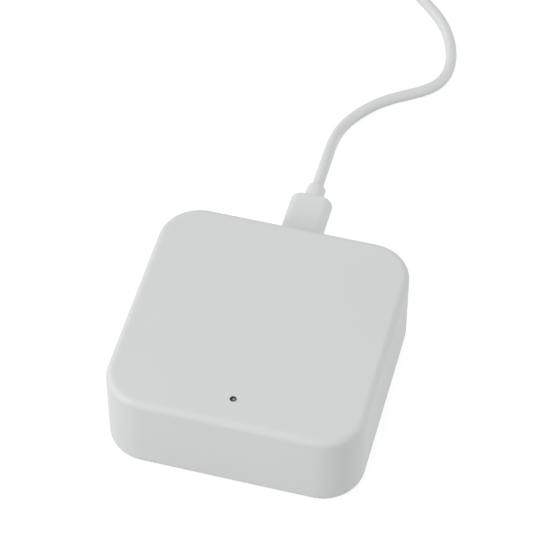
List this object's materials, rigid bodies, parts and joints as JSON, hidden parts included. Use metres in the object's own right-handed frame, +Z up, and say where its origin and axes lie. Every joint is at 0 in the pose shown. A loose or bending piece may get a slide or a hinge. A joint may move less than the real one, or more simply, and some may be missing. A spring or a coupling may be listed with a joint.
{
  "type": "smart lock wifi bridge",
  "caption": "Rounded square wifi bridge box on rubber feet, with a status light in its top and a USB-C lead in its back that ends in a USB-A plug.",
  "frame": {"origin": "on the table, under the middle of the box", "axes": "+Z up, +Y out of the socket side, -Y towards the side with the status light"},
  "size_m": [0.1105, 0.2622, 0.0264],
  "materials": {
    "housing_plastic": "fine matte texture",
    "base_plastic": "fine matte texture",
    "foot_rubber": "soft matte",
    "screw_steel": "zinc plated",
    "board": "solder mask over glass laminate",
    "shield": "stamped and tinned",
    "chip": "moulded black",
    "ceramic": "fired",
    "antenna": "fired",
    "crystal_can": "plated can",
    "light": "clear lens",
    "clear_plastic": "smoked and polished",
    "connector_steel": "nickel plated",
    "connector_plastic": "moulded",
    "a_tongue_plastic": "moulded",
    "contact_metal": "gold plated",
    "cord_jacket": "soft matte jacket",
    "grip_plastic": "soft matte moulding",
    "strap": "soft ribbed strap"
  },
  "bodies": {
    "root": {"top_housing": "housing_plastic", "base_plate": "base_plastic", "rubber_foot_1": "foot_rubber", "rubber_foot_2": "foot_rubber", "rubber_foot_3": "foot_rubber", "rubber_foot_4": "foot_rubber", "cover_screws": "screw_steel", "main_board": "board", "board_screws": "screw_steel", "usb_c_socket_shell": "connector_steel", "usb_c_socket_tongue": "connector_plastic", "usb_c_socket_contacts": "contact_metal", "wifi_module_board": "board", "wifi_module_shield": "shield", "wifi_antenna": "antenna", "bluetooth_module_board": "board", "bluetooth_module_shield": "shield", "bluetooth_antenna": "antenna", "status_light": "light", "light_pipe": "clear_plastic", "voltage_regulator": "chip", "power_inductor": "chip", "flash_memory": "chip", "crystal": "crystal_can", "capacitors": "ceramic", "resistors": "chip", "usb_c_plug_grip": "grip_plastic", "usb_c_plug_shell": "connector_steel", "power_cord": "cord_jacket", "cord_coil": "cord_jacket", "cord_tail": "cord_jacket", "coil_tie": "strap", "usb_a_plug_grip": "grip_plastic", "usb_a_plug_shell": "connector_steel", "usb_a_plug_tongue": "a_tongue_plastic", "usb_a_plug_contacts": "contact_metal"}
  },
  "joints": []
}
